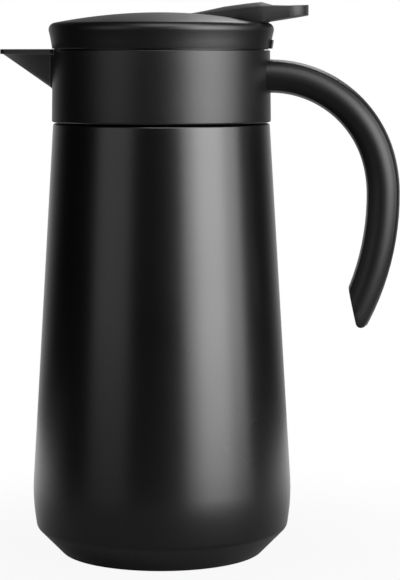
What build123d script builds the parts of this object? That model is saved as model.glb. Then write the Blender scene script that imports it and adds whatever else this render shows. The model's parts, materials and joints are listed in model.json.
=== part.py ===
from build123d import *
import os
from math import atan2, cos, radians, sin, sqrt, tan

# Vacuum carafe with a lever lid, a duckbill spout and an open cane handle.
# Millimetres. The origin is the centre of the foot, +Z is up, the spout points
# along -X and the handle along +X.

# Steel body, outer face
foot_corner_radius = 46.2   # where the flat foot and the bevel would meet
foot_round = 2.5
foot_width = 4.8            # flat ring that the jug stands on
base_recess = 4.5           # the middle of the base stands this high
base_wall_lean = 1.5
crease_radius = 58.25       # edge between the bevel and the side
crease_z = 12.4
crease_round = 4.0
base_joint_z = 17.0         # weld between the base cup and the outer shell
belly_flare = 1.85          # the belly's corner, where both sides would meet, past the crease
belly_z = 26.0
belly_share = 0.95          # share of the side from the weld to there that the round takes
side_taper = 3.5            # degrees that the side leans in
body_top_z = 198.4
shoulder_round = 1.0
shell_wall = 0.6

# Steel neck and liner
neck_radius = 42.6
neck_root_round = 1.5
neck_bead = 0.9
neck_bead_z = 205.0
rim_z = 213.0
rim_round = 0.9
bore_radius = 38.5
liner_wall = 0.5
vacuum_gap = 7.5
liner_joint_z = 32.0
liner_floor_z = 14.0
liner_floor_round = 15.0
liner_shoulder_z = 189.0
liner_neck_z = 194.5
liner_neck_round = 7.0
getter_radius = 8.0
getter_height = 2.5
pump_hole_radius = 1.6
pump_seal_radius = 4.0
pump_seal_height = 1.0

# Collar with the spout
seam_gap = 0.65             # open seam between the steel body and the collar
collar_bottom_radius = 50.1
collar_top_radius = 49.6
collar_top_z = 231.6
collar_wall = 2.3
collar_edge_round = 0.8
deck_z = 214.4              # underside of the deck that lies over the steel rim
deck_thickness = 2.2
deck_bore_radius = 39.2
sleeve_fit = 0.3
sleeve_wall = 2.2
spout_tip_x = 73.6
spout_top_z = 232.1
spout_tip_depth = 1.85
spout_keel_angle = 34.7
spout_root_x = 45.5
spout_root_half = 14.6
spout_tip_half = 4.2
spout_tip_round = 3.4
spout_keel_round = 3.6
spout_wall = 1.8
spout_lip = 0.45
spout_lip_height = 1.9
spout_floor_z = 217.0

# Thread between the lid and the collar
thread_lead = 32.0
thread_starts = 3
thread_height = 2.2
thread_play = 0.35
ring_bore_radius = 45.0
ring_fit = 0.2
ring_top_drop = 0.8
ridge_depth = 2.2
ridge_span = 60.0
ridge_z = 225.2
lug_depth = 2.2
lug_span = 40.0
ring_notch_half_angle = 15.0
ring_notch_z = 217.6

# Handle
handle_height = 15.1        # across the handle, in its own plane
handle_width = 23.0
handle_edge_width = 16.0
handle_edge_height = 12.9
handle_root_z = 219.9
handle_corner_round = 1.2
handle_straight = 0.6
handle_cut_length = 16.3
handle_tip_round = 2.7
handle_tip_turn = 125.0
handle_arcs = ((50.9, 75.0), (61.3, 14.0), (120.3, 32.0))
handle_cut_x = 86.0         # upper corner of the slanted cut at the free end
handle_cut_z = 124.0
handle_cut_angle = 12.7
handle_root_fit = 0.1
handle_screw_spacing = 11.0
handle_screw_length = 16.0
screw_radius = 1.9
screw_head_radius = 3.4
screw_hole_fit = 0.1
screw_sink = 0.3            # the screw heads lie this deep in the collar's wall

# Lid
lid_gap = 0.7               # open seam between the collar and the lid skirt
skirt_bottom_radius = 49.75
skirt_waist_radius = 50.6
skirt_waist_z = 237.6
skirt_waist_round = 55.0
lid_edge_radius = 52.05     # where the dome and the skirt would meet
lid_edge_round = 2.6
lid_top_z = 248.8
dome_radius = 252.5
lid_wall = 2.1
skirt_wall = 1.2
tab_width = 10.0
tab_top_z = 236.3
tab_top_radius = 51.1
tab_bottom_radius = 50.5
lid_screw_circle = 44.8
lid_screw_count = 4
lid_boss_radius = 2.1
lid_screw_radius = 1.2
lid_screw_head_radius = 1.9
lid_screw_length = 9.0

# Stopper
flange_play = 0.3           # round the flange, which dips into the collar
flange_lift = 0.3           # running gap between the flange and the neck ring
flange_thickness = 3.3
flange_rebate = 1.5
stopper_wall_radius = 42.3
stopper_wall = 2.0
stopper_shoulder_gap = 0.7
cup_radius = 36.4
cup_wall = 2.0
cup_bottom_z = 202.5
valve_hole_radius = 11.5
pour_window_half_angle = 22.0
pour_window_top_z = 229.6
cover_fit = 0.2
cover_thickness = 2.0
guide_radius = 6.2
guide_bottom_z = 229.0
seal_pocket_radius = 4.9
seal_pocket_height = 2.1
gasket_height = 5.0
gasket_z = 208.5
gasket_bite = 1.0
gasket_fit = 0.25

# Valve
stem_radius = 3.0
stem_fit = 0.15
valve_head_radius = 14.2
valve_head_thickness = 2.4
valve_hub_radius = 9.4
valve_seal_thickness = 1.9
valve_seat_gap = 0.1
tongue_thickness = 4.0
tongue_width = 8.6
tongue_top_z = 243.2
tongue_lift = 0.4           # running gap between the tongue and the stopper's cover
spring_radius = 7.4
spring_wire = 0.9
spring_turns = 6
spring_end_gap = 0.6

# Lever
pivot_x = 44.0
pivot_z = 241.5
pivot_pin_radius = 1.5
pivot_boss_radius = 3.4
pin_fit = 0.1
link_z = 241.0
link_pin_radius = 1.25
link_boss_radius = 3.6
link_slot_play = 0.3
lever_travel = 5.5          # degrees
lever_clearance = 0.3
lever_front = 8.0
lever_depth = 8.0           # that the lever's block reaches below the pivot
lever_core_half = 7.2
lever_core_end = 48.0
lever_slot_gap = 0.5
lever_wide_slot_end = 34.0
lug_plate = 2.6
overshoot = 1.0             # how far a cutting shape runs past what it cuts
# x, height of the ridge line, height of the side edge, half width there
lever_sections = (
    (-9.0, 248.45, 248.25, 8.0),
    (14.0, 248.35, 248.05, 10.0),
    (17.0, 248.85, 248.15, 10.4),
    (20.5, 249.55, 248.3, 10.8),
    (29.0, 251.35, 248.9, 12.3),
    (39.5, 252.75, 250.3, 15.6),
    (45.8, 253.35, 251.0, 17.3),
    (51.0, 251.95, 251.2, 17.8),
    (58.0, 251.75, 251.2, 17.4),
    (68.4, 252.05, 251.3, 17.0),
)
# half of the lever's outline from above, behind its round front, and the rounds there
paddle_side = [(0.0, 8.0), (27.5, 11.9), (45.2, 17.6), (66.2, 17.2)]
paddle_side_rounds = [45.0, 25.0, 7.5]
paddle_end = 67.1
paddle_end_round = 70.0
paddle_end_z = 247.7
paddle_root = (48.6, 244.6)
paddle_heel = (47.2, 243.7)
arm_underside_z = 243.9


def body_radius(z):
    """Radius of the outer face of the steel side above the belly."""
    return belly_radius - (z - belly_z) * tan(radians(side_taper))


def dome_z(radius):
    """Height of the lid's outer face at a radius."""
    return lid_top_z - dome_radius + sqrt(dome_radius ** 2 - radius ** 2)


def collar_radius(z):
    """Radius of the collar's outer face at a height."""
    share = (z - collar_bottom_z) / (collar_top_z - collar_bottom_z)
    return collar_bottom_radius + (collar_top_radius - collar_bottom_radius) * share


def spout_keel_z(x):
    """Height of the spout's lower edge at a distance x in front of the axis."""
    return spout_top_z - spout_tip_depth - (spout_tip_x - x) * tan(radians(spout_keel_angle))


def vee_corner(half, depth, keel_round):
    """Depth of the sharp corner of a V whose round keel reaches a depth."""
    share = 1 - (keel_round / half) ** 2
    rest = depth - keel_round
    return (rest + sqrt(rest ** 2 - share * (rest ** 2 - keel_round ** 2))) / share


def moved_aside(points, distance):
    """The same run of points, moved to its left by a distance."""
    corners = [Vector(*point) for point in points]
    result = []
    for index, corner in enumerate(corners):
        before = corners[max(index - 1, 0)]
        after = corners[min(index + 1, len(corners) - 1)]
        arriving = (corner - before).normalized() if index > 0 else (after - corner).normalized()
        leaving = (after - corner).normalized() if index < len(corners) - 1 else arriving
        normal_in = Vector(-arriving.Y, arriving.X)
        normal_out = Vector(-leaving.Y, leaving.X)
        mitre = (normal_in + normal_out) / (1 + normal_in.dot(normal_out))
        moved = corner + mitre * distance
        result.append((moved.X, moved.Y))
    return result


def turns_left(points, index):
    """Whether a run of points turns left at one of its corners."""
    a, b, c = [Vector(*points[index + step]) for step in (-1, 0, 1)]
    return (b - a).cross(c - b).Z > 0


def sheet_outline(points, rounds, wall):
    """Corners and rounds of a drawn sheet's section. The metal lies left of the points."""
    inner = moved_aside(points, wall)
    inner_rounds = []
    for index, radius in enumerate(rounds, start=1):
        if radius == 0:
            inner_rounds.append(0)
        elif turns_left(points, index):
            inner_rounds.append(max(radius - wall, wall / 4))
        else:
            inner_rounds.append(radius + wall)
    corners = points + inner[::-1]
    radii = [0] + rounds + [0, 0] + inner_rounds[::-1] + [0]
    return corners, radii


def rounds_at(points, rounds):
    """A radius for each of the points, zero where no round is named."""
    return [rounds.get(index, 0) for index in range(len(points))]


def wedge_corners(half_angle, reach):
    """Triangle from the axis outwards to the spout's side, for a window in a wall."""
    side = reach / cos(radians(half_angle))
    corners = [(0, 0)]
    for angle in (180 - half_angle, 180 + half_angle):
        corners.append((side * cos(radians(angle)), side * sin(radians(angle))))
    return corners


def thread_piece(inner_radius, outer_radius, height, span, middle_z):
    """A short piece of screw thread, centred on the +X side and on a height."""
    mean_radius = (inner_radius + outer_radius) / 2
    rise = thread_lead * span / 360
    start = radians(-span / 2)
    radial = (cos(start), sin(start), 0)
    tangent = (-sin(start), cos(start), 0)
    low = middle_z - rise / 2
    foot = (mean_radius * radial[0], mean_radius * radial[1], low)
    with BuildPart(mode=Mode.PRIVATE) as piece:
        with BuildLine(Plane(origin=(0, 0, low), x_dir=radial, z_dir=(0, 0, 1))) as path:
            Helix(pitch=thread_lead, height=rise, radius=mean_radius)
        with BuildSketch(Plane(origin=foot, x_dir=radial, z_dir=tangent)):
            Rectangle(outer_radius - inner_radius, height)
        sweep(path=path.line, is_frenet=True)
    return piece.part


# Sizes that follow from the ones above
belly_radius = crease_radius + belly_flare
body_top_radius = body_radius(body_top_z)
base_joint_radius = crease_radius + belly_flare * (
    (base_joint_z - crease_z) / (belly_z - crease_z))
base_lean = atan2(belly_flare, belly_z - crease_z)
belly_turn = base_lean + radians(side_taper)
belly_round = belly_share * (belly_z - base_joint_z) / cos(base_lean) / tan(belly_turn / 2)
liner_neck_radius = bore_radius + liner_wall
liner_inset = shell_wall + vacuum_gap
collar_bottom_z = body_top_z + seam_gap
deck_top_z = deck_z + deck_thickness
sleeve_bore_radius = neck_radius + sleeve_fit
sleeve_bottom_z = body_top_z + neck_root_round
collar_inner_radius = collar_top_radius - collar_wall
skirt_bottom_z = collar_top_z + lid_gap
ring_top_z = collar_top_z - ring_top_drop
flange_radius = collar_inner_radius - flange_play
flange_z = ring_top_z + flange_lift
flange_top_z = flange_z + flange_thickness
rebate_z = flange_top_z - flange_rebate
cover_top_z = rebate_z + cover_thickness
stopper_shoulder_z = deck_top_z + stopper_shoulder_gap
cup_floor_z = cup_bottom_z + cup_wall
ring_outer_radius = collar_inner_radius - ring_fit
ring_wall = ring_outer_radius - ring_bore_radius
lug_z = ridge_z - thread_height - thread_play
screw_head_height = screw_head_radius - screw_radius
handle_screw_x = sqrt(collar_inner_radius ** 2 - (handle_screw_spacing / 2) ** 2) + screw_sink
handle_screw_places = [
    (handle_screw_x, side * handle_screw_spacing / 2, handle_root_z) for side in (-1, 1)
]
valve_head_z = cup_floor_z + valve_seal_thickness
valve_top_z = valve_head_z + valve_head_thickness
stem_top_z = link_z - link_boss_radius - link_slot_play
tongue_bottom_z = cover_top_z + tongue_lift
cover_radius = stopper_wall_radius + flange_lift
stopper_inner_radius = stopper_wall_radius - stopper_wall
lid_screw_head_height = lid_screw_head_radius - lid_screw_radius
paddle_half = max(half for x, half in paddle_side)

# Outer shell
with BuildPart() as outer_shell:
    with BuildSketch(Plane.XZ):
        corners, radii = sheet_outline(
            [
                (base_joint_radius, base_joint_z),
                (belly_radius, belly_z),
                (body_top_radius, body_top_z),
                (neck_radius, body_top_z),
                (neck_radius, neck_bead_z - 2 * neck_bead),
                (neck_radius + neck_bead, neck_bead_z - neck_bead / 2),
                (neck_radius + neck_bead, neck_bead_z + neck_bead / 2),
                (neck_radius, neck_bead_z + 2 * neck_bead),
                (neck_radius, rim_z),
                (liner_neck_radius, rim_z),
            ],
            [belly_round, shoulder_round, neck_root_round, 0, 0, 0, 0, rim_round],
            shell_wall,
        )
        with BuildLine():
            FilletPolyline(*corners, radius=radii, close=True)
        make_face()
    revolve(axis=Axis.Z)

# Base cup, welded to the outer shell
with BuildPart() as outer_base:
    with BuildSketch(Plane.XZ):
        corners, radii = sheet_outline(
            [
                (0, base_recess),
                (foot_corner_radius - foot_width - base_wall_lean, base_recess),
                (foot_corner_radius - foot_width, 0),
                (foot_corner_radius, 0),
                (crease_radius, crease_z),
                (base_joint_radius, base_joint_z),
            ],
            [foot_round, foot_round / 2, foot_round, crease_round],
            shell_wall,
        )
        with BuildLine():
            FilletPolyline(*corners, radius=radii, close=True)
        make_face()
    revolve(axis=Axis.Z)
    with Locations((0, 0, base_recess)):
        Cylinder(pump_hole_radius, 4 * shell_wall, mode=Mode.SUBTRACT)

# Bead that seals the pumping hole in the base
with BuildPart() as vacuum_seal:
    with BuildSketch(Plane.XY.offset(base_recess - pump_seal_height)):
        Circle(pump_seal_radius)
    extrude(amount=pump_seal_height)
    bottom = vacuum_seal.faces().sort_by(Axis.Z)[0]
    fillet(bottom.edges(), radius=pump_seal_height / 2)

# Gas absorber inside the vacuum
with BuildPart() as getter:
    with BuildSketch(Plane.XY.offset(base_recess + shell_wall)):
        with Locations((getter_radius * 2, 0)):
            Circle(getter_radius)
    extrude(amount=getter_height)
    fillet(getter.faces().sort_by(Axis.Z)[-1].edges(), radius=getter_height / 4)

# Liner that holds the drink
with BuildPart() as inner_liner:
    with BuildSketch(Plane.XZ):
        corners, radii = sheet_outline(
            [
                (body_radius(liner_joint_z) - liner_inset, liner_joint_z),
                (body_radius(liner_shoulder_z) - liner_inset, liner_shoulder_z),
                (liner_neck_radius, liner_neck_z),
                (liner_neck_radius, rim_z),
            ],
            [liner_neck_round, liner_neck_round],
            liner_wall,
        )
        with BuildLine():
            FilletPolyline(*corners, radius=radii, close=True)
        make_face()
    revolve(axis=Axis.Z)

with BuildPart() as liner_base:
    with BuildSketch(Plane.XZ):
        corners, radii = sheet_outline(
            [
                (0, liner_floor_z),
                (body_radius(liner_floor_z) - liner_inset, liner_floor_z),
                (body_radius(liner_joint_z) - liner_inset, liner_joint_z),
            ],
            [liner_floor_round],
            liner_wall,
        )
        with BuildLine():
            FilletPolyline(*corners, radius=radii, close=True)
        make_face()
    revolve(axis=Axis.Z)

# Spout body: a V in section that narrows to the tip, with a lip along its top edge
root_depth = spout_top_z - spout_keel_z(spout_root_x)
spout_plan = [
    (-spout_root_x, -spout_root_half),
    (-spout_tip_x, -spout_tip_half),
    (-spout_tip_x, spout_tip_half),
    (-spout_root_x, spout_root_half),
]
plan_rounds = {1: spout_tip_round, 2: spout_tip_round}
with BuildPart() as spout:
    for x, half, depth in (
        (spout_root_x, spout_root_half, root_depth),
        (spout_tip_x, spout_tip_half, spout_tip_depth),
    ):
        with BuildSketch(Plane(origin=(-x, 0, spout_top_z), x_dir=(0, 1, 0), z_dir=(1, 0, 0))):
            keel_round = spout_keel_round * depth / root_depth
            corner = vee_corner(half, depth, keel_round)
            with BuildLine():
                FilletPolyline(
                    (-half, 0), (0, -corner), (half, 0), radius=(0, keel_round, 0), close=True
                )
            make_face()
    loft(ruled=True)
    with BuildSketch(Plane.XY.offset(spout_top_z - root_depth)):
        with BuildLine():
            FilletPolyline(*spout_plan, radius=rounds_at(spout_plan, plan_rounds), close=True)
        make_face()
    extrude(amount=root_depth, mode=Mode.INTERSECT)
    with BuildSketch(Plane.XY.offset(spout_top_z - spout_lip_height)):
        with BuildLine():
            FilletPolyline(*spout_plan, radius=rounds_at(spout_plan, plan_rounds), close=True)
        make_face()
        offset(amount=spout_lip)
    extrude(amount=spout_lip_height)

# The channel in the spout, open at the top and at the tip
with BuildPart() as spout_channel:
    for x, half, depth in (
        (collar_inner_radius - spout_wall, spout_root_half - spout_wall,
         root_depth - spout_wall / cos(radians(spout_keel_angle))),
        (spout_tip_x + spout_lip, spout_tip_half - spout_wall, spout_tip_depth / 2),
    ):
        with BuildSketch(Plane(origin=(-x, 0, spout_top_z), x_dir=(0, 1, 0), z_dir=(1, 0, 0))):
            keel_round = spout_keel_round * depth / root_depth
            corner = vee_corner(half, depth, keel_round)
            with BuildLine():
                FilletPolyline(
                    (-half, 0), (0, -corner), (half, 0), radius=(0, keel_round, 0), close=True
                )
            make_face()
    loft(ruled=True)
    with BuildSketch(Plane.XY.offset(spout_floor_z)):
        with Locations((-spout_tip_x, 0)):
            Rectangle(2 * spout_tip_x, 4 * spout_root_half)
    extrude(amount=root_depth, mode=Mode.INTERSECT)

# Collar, moulded in one piece with the spout
with BuildPart() as collar:
    with BuildSketch(Plane.XZ):
        groove = neck_bead + sleeve_fit
        sleeve_outer = sleeve_bore_radius + groove + sleeve_wall / 2
        corners = [
            (collar_bottom_radius - collar_wall, collar_bottom_z),
            (collar_bottom_radius, collar_bottom_z),
            (collar_top_radius, collar_top_z),
            (collar_inner_radius, collar_top_z),
            (collar_inner_radius, deck_top_z),
            (deck_bore_radius, deck_top_z),
            (deck_bore_radius, deck_z),
            (sleeve_bore_radius, deck_z),
            (sleeve_bore_radius, neck_bead_z + 2 * groove),
            (sleeve_bore_radius + neck_bead, neck_bead_z + groove),
            (sleeve_bore_radius + neck_bead, neck_bead_z - groove),
            (sleeve_bore_radius, neck_bead_z - 2 * groove),
            (sleeve_bore_radius, sleeve_bottom_z),
            (sleeve_outer, sleeve_bottom_z),
            (sleeve_outer, deck_z),
            (collar_inner_radius, deck_z),
        ]
        rounds = {1: collar_edge_round, 2: collar_edge_round / 2}
        with BuildLine():
            FilletPolyline(*corners, radius=rounds_at(corners, rounds), close=True)
        make_face()
    revolve(axis=Axis.Z)
    # The spout starts in the middle of the collar's wall and stays clear of the lid's flange
    with BuildPart(mode=Mode.PRIVATE) as outer_spout:
        add(spout.part)
        with BuildSketch(Plane.XY.offset(spout_top_z - root_depth)):
            Circle(collar_inner_radius + collar_wall / 2)
        extrude(amount=root_depth, mode=Mode.SUBTRACT)
        with BuildSketch(Plane.XY.offset(collar_top_z)):
            Circle(flange_radius + flange_lift + collar_edge_round / 2)
        extrude(amount=root_depth, mode=Mode.SUBTRACT)
    add(outer_spout.part)
    add(spout_channel.part, mode=Mode.SUBTRACT)
    # Countersunk holes for the handle's screws, bored from the inside
    with Locations(*handle_screw_places):
        Cylinder(screw_radius + screw_hole_fit, 2 * handle_screw_length, rotation=(0, 90, 0),
                 mode=Mode.SUBTRACT)
        Cone(screw_head_radius + screw_hole_fit, screw_radius, screw_head_height,
             rotation=(0, 90, 0), align=(Align.CENTER, Align.CENTER, Align.MIN),
             mode=Mode.SUBTRACT)

# Threaded ring that is snapped into the collar
with BuildPart() as neck_ring:
    with BuildSketch(Plane.XY.offset(deck_top_z)):
        Circle(ring_outer_radius)
        Circle(ring_bore_radius, mode=Mode.SUBTRACT)
    extrude(amount=ring_top_z - deck_top_z)
    with PolarLocations(0, thread_starts):
        add(thread_piece(
            ring_bore_radius - ridge_depth, ring_bore_radius + ring_wall / 2,
            thread_height, ridge_span, ridge_z,
        ))
    with BuildSketch(Plane.XY.offset(ring_notch_z)):
        with BuildLine():
            Polyline(*wedge_corners(ring_notch_half_angle, 2 * ring_outer_radius), close=True)
        make_face()
    extrude(amount=ring_top_z, mode=Mode.SUBTRACT)

# Seal between the steel rim and the collar
with BuildPart() as neck_seal:
    with BuildSketch(Plane.XY.offset(rim_z)):
        Circle(neck_radius - rim_round / 2)
        Circle(deck_bore_radius + sleeve_fit, mode=Mode.SUBTRACT)
    extrude(amount=deck_z - rim_z)

# Cane handle, swept along three arcs, with a slanted cut at its free end
with BuildPart() as handle:
    with BuildLine(Plane.XZ) as handle_path:
        start = (collar_inner_radius, handle_root_z)
        run = Line(start, (collar_top_radius + handle_straight, handle_root_z))
        for radius, turn in handle_arcs:
            run = JernArc(start=run @ 1, tangent=run % 1, radius=radius, arc_size=-turn)
    with BuildSketch(Plane(origin=(collar_inner_radius, 0, handle_root_z),
                           x_dir=(0, 1, 0), z_dir=(1, 0, 0))):
        half_edge = handle_edge_width / 2
        half_rise = handle_edge_height / 2
        with BuildLine():
            for side in (1, -1):
                ThreePointArc(
                    (side * half_edge, -side * half_rise),
                    (side * handle_width / 2, 0),
                    (side * half_edge, side * half_rise),
                )
                ThreePointArc(
                    (side * half_edge, side * half_rise),
                    (0, side * handle_height / 2),
                    (-side * half_edge, side * half_rise),
                )
        make_face()
        fillet(vertices(), radius=handle_corner_round)
    sweep(path=handle_path.line)
    # The root follows the collar's outer face
    with BuildSketch(Plane.XZ):
        low_z = handle_root_z - handle_height
        high_z = handle_root_z + handle_height
        with BuildLine():
            Polyline(
                (0, low_z),
                (collar_radius(low_z) + handle_root_fit, low_z),
                (collar_radius(high_z) + handle_root_fit, high_z),
                (0, high_z),
                close=True,
            )
        make_face()
    revolve(axis=Axis.Z, mode=Mode.SUBTRACT)
    # Slanted cut at the free end, which runs out in a rounded tip
    with BuildSketch(Plane.XZ):
        slant = radians(handle_cut_angle)
        reach = 3 * handle_width
        with BuildLine():
            cut = Line(
                (handle_cut_x - reach * sin(slant), handle_cut_z + reach * cos(slant)),
                (handle_cut_x + handle_cut_length * sin(slant),
                 handle_cut_z - handle_cut_length * cos(slant)),
            )
            tip = JernArc(start=cut @ 1, tangent=cut % 1, radius=handle_tip_round,
                          arc_size=handle_tip_turn)
            Polyline(
                tip @ 1, (handle_cut_x + reach, handle_cut_z - reach),
                (handle_cut_x - reach, handle_cut_z - reach), cut @ 0,
            )
        make_face()
    extrude(amount=handle_width, both=True, mode=Mode.SUBTRACT)
    with Locations(*handle_screw_places):
        Cylinder(screw_radius + screw_hole_fit / 2, handle_screw_length + 1,
                 rotation=(0, 90, 0), align=(Align.CENTER, Align.CENTER, Align.MIN),
                 mode=Mode.SUBTRACT)

# Countersunk screws that hold the handle
with BuildPart() as handle_screws:
    with Locations(*handle_screw_places):
        Cylinder(screw_radius, handle_screw_length, rotation=(0, 90, 0),
                 align=(Align.CENTER, Align.CENTER, Align.MIN))
        Cone(screw_head_radius, screw_radius, screw_head_height, rotation=(0, 90, 0),
             align=(Align.CENTER, Align.CENTER, Align.MIN))

# Stopper: an outer wall with screw lugs, and a narrower cup that reaches into the neck
with BuildPart() as stopper_body:
    shoulder_top_z = stopper_shoulder_z + stopper_wall
    groove_radius = cup_radius - gasket_bite
    with BuildSketch(Plane.XZ):
        corners = [
            (flange_radius, flange_z),
            (flange_radius, flange_top_z),
            (cover_radius + cover_fit, flange_top_z),
            (cover_radius + cover_fit, rebate_z),
            (stopper_inner_radius, rebate_z),
            (stopper_inner_radius, shoulder_top_z),
            (cup_radius - cup_wall, shoulder_top_z),
            (cup_radius - cup_wall, cup_floor_z),
            (valve_hole_radius, cup_floor_z),
            (valve_hole_radius, cup_bottom_z),
            (cup_radius, cup_bottom_z),
            (cup_radius, gasket_z - gasket_height / 2),
            (groove_radius, gasket_z - gasket_height / 2),
            (groove_radius, gasket_z + gasket_height / 2),
            (cup_radius, gasket_z + gasket_height / 2),
            (cup_radius, stopper_shoulder_z),
            (stopper_wall_radius, stopper_shoulder_z),
            (stopper_wall_radius, flange_z),
        ]
        rounds = {10: cup_wall, 16: stopper_wall / 2}
        with BuildLine():
            FilletPolyline(*corners, radius=rounds_at(corners, rounds), close=True)
        make_face()
    revolve(axis=Axis.Z)
    with PolarLocations(0, thread_starts):
        add(thread_piece(
            stopper_wall_radius - stopper_wall / 4, stopper_wall_radius + lug_depth,
            thread_height, lug_span, lug_z,
        ))
    # Pouring window towards the spout
    with BuildSketch(Plane.XY.offset(shoulder_top_z)):
        with BuildLine():
            Polyline(*wedge_corners(pour_window_half_angle, flange_radius), close=True)
        make_face()
        Circle(stopper_inner_radius - stopper_wall, mode=Mode.SUBTRACT)
    extrude(amount=pour_window_top_z - shoulder_top_z, mode=Mode.SUBTRACT)
    with (
        Locations(Plane.XY.offset(flange_z)),
        PolarLocations(lid_screw_circle, lid_screw_count, start_angle=45),
    ):
        Cylinder(lid_screw_radius + screw_hole_fit, 2 * flange_thickness + flange_lift,
                 mode=Mode.SUBTRACT)
        Cone(lid_screw_head_radius + screw_hole_fit, lid_screw_radius, lid_screw_head_height,
             align=(Align.CENTER, Align.CENTER, Align.MIN), mode=Mode.SUBTRACT)

# Cover of the stopper, with the guide for the valve stem
with BuildPart() as stopper_cover:
    with BuildSketch(Plane.XY.offset(rebate_z)):
        Circle(cover_radius)
    extrude(amount=cover_thickness)
    with BuildSketch(Plane.XY.offset(guide_bottom_z)):
        Circle(guide_radius)
    extrude(amount=rebate_z - guide_bottom_z)
    with BuildSketch(Plane.XY.offset(guide_bottom_z)):
        Circle(stem_radius + stem_fit)
    extrude(amount=cover_top_z, mode=Mode.SUBTRACT)
    with BuildSketch(Plane.XY.offset(cover_top_z)):
        Circle(seal_pocket_radius)
    extrude(amount=-seal_pocket_height, mode=Mode.SUBTRACT)

# Ring round the stem, in the pocket of the cover
with BuildPart() as stem_seal:
    with BuildSketch(Plane.XZ):
        with Locations(((seal_pocket_radius + stem_radius) / 2, cover_top_z - seal_pocket_height / 2)):
            RectangleRounded(
                seal_pocket_radius - stem_radius - stem_fit,
                seal_pocket_height - stem_fit / 2,
                seal_pocket_height / 4,
            )
    revolve(axis=Axis.Z)

# Lip seal between the stopper's cup and the steel neck
with BuildPart() as stopper_gasket:
    with BuildSketch(Plane.XZ):
        gasket_inner = cup_radius - gasket_bite + gasket_fit
        gasket_outer = bore_radius - gasket_fit
        low_z = gasket_z - gasket_height / 2 + gasket_fit
        high_z = gasket_z + gasket_height / 2 - gasket_fit
        lip = gasket_height / 4
        with BuildLine():
            Polyline(
                (gasket_inner, low_z),
                (cup_radius, low_z),
                (gasket_outer, low_z + lip / 2),
                (gasket_outer - lip / 2, low_z + lip),
                (gasket_outer, high_z - lip / 2),
                (cup_radius, high_z),
                (gasket_inner, high_z),
                close=True,
            )
        make_face()
    revolve(axis=Axis.Z)

# Valve stem with the valve head below and a slotted tongue above
with BuildPart() as valve_stem:
    with BuildSketch(Plane.XZ):
        corners = [
            (0, cup_floor_z - valve_seal_thickness / 2),
            (valve_hub_radius, cup_floor_z - valve_seal_thickness / 2),
            (valve_hub_radius, valve_head_z),
            (valve_head_radius, valve_head_z),
            (valve_head_radius, valve_top_z),
            (guide_radius, valve_top_z),
            (guide_radius, valve_top_z + spring_wire * 2),
            (stem_radius, valve_top_z + spring_wire * 2),
            (stem_radius, stem_top_z),
            (0, stem_top_z),
        ]
        rounds = {1: valve_seal_thickness / 3, 4: valve_head_thickness / 3, 6: spring_wire}
        with BuildLine():
            FilletPolyline(*corners, radius=rounds_at(corners, rounds), close=True)
        make_face()
    revolve(axis=Axis.Z)
    with BuildSketch(Plane.XY.offset(tongue_bottom_z)):
        RectangleRounded(tongue_width, tongue_thickness, tongue_thickness / 4)
    extrude(amount=tongue_top_z - tongue_bottom_z)
    with BuildSketch(Plane.XZ):
        with Locations((0, link_z)):
            SlotCenterToCenter(2 * link_slot_play, 2 * (link_pin_radius + link_slot_play / 2))
    extrude(amount=tongue_thickness, both=True, mode=Mode.SUBTRACT)

# Flat seal under the valve head
with BuildPart() as valve_seal:
    with BuildSketch(Plane.XY.offset(cup_floor_z + valve_seat_gap)):
        Circle(valve_head_radius)
        Circle(valve_hub_radius, mode=Mode.SUBTRACT)
    extrude(amount=valve_seal_thickness - valve_seat_gap)

# Spring that closes the valve
with BuildPart() as valve_spring:
    spring_bottom = valve_top_z + spring_end_gap
    spring_length = rebate_z - spring_end_gap - spring_bottom
    with BuildLine(Plane.XY.offset(spring_bottom)) as coil:
        Helix(pitch=spring_length / spring_turns, height=spring_length, radius=spring_radius)
    with BuildSketch(Plane(origin=coil.line @ 0, z_dir=coil.line % 0)):
        Circle(spring_wire / 2)
    sweep(path=coil.line, is_frenet=True)

# Outline of the lever seen from above: a round front, a flared paddle behind
with BuildSketch() as paddle_outline:
    far_side = [(x, -half) for x, half in reversed(paddle_side)]
    with BuildLine():
        FilletPolyline(
            *paddle_side, (paddle_end, 0), *far_side,
            radius=paddle_side_rounds + [paddle_end_round] + paddle_side_rounds[::-1],
        )
        ThreePointArc(far_side[-1], (-lever_front, 0), paddle_side[0])
    make_face()


def slot_prism(gap):
    """The upright space that the lever's arm takes in the lid, with a gap round it."""
    with BuildPart(mode=Mode.PRIVATE) as prism:
        with BuildSketch(Plane.XY.offset(pivot_z - lever_depth)):
            add(paddle_outline.sketch)
            offset(amount=gap, mode=Mode.REPLACE)
            with Locations((-lever_front - gap, 0)):
                Rectangle(lever_wide_slot_end + lever_front + 2 * gap, 2 * paddle_half,
                          align=(Align.MIN, Align.CENTER), mode=Mode.INTERSECT)
            Rectangle(lever_core_end + gap, 2 * (lever_core_half + gap),
                      align=(Align.MIN, Align.CENTER))
        extrude(amount=2 * lever_depth)
    return prism.part


# The room that the lid takes under the lever, with a running clearance over it
with BuildPart() as lid_room:
    with BuildSketch(Plane.XZ):
        rim = lid_edge_radius + lever_clearance
        brow_radius = lid_edge_radius - lid_edge_round / 2
        brow_z = dome_z(lid_edge_radius)
        with BuildLine():
            Polyline(
                (0, lid_top_z + lever_clearance), (0, skirt_bottom_z), (rim, skirt_bottom_z),
                (rim, brow_z - lid_edge_round / 2), (brow_radius, brow_z + lever_clearance),
            )
            ThreePointArc(
                (brow_radius, brow_z + lever_clearance),
                (lid_edge_radius / 2, dome_z(lid_edge_radius / 2) + lever_clearance),
                (0, lid_top_z + lever_clearance),
            )
        make_face()
    revolve(axis=Axis.Z)
    add(slot_prism(pin_fit), mode=Mode.SUBTRACT)

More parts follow.
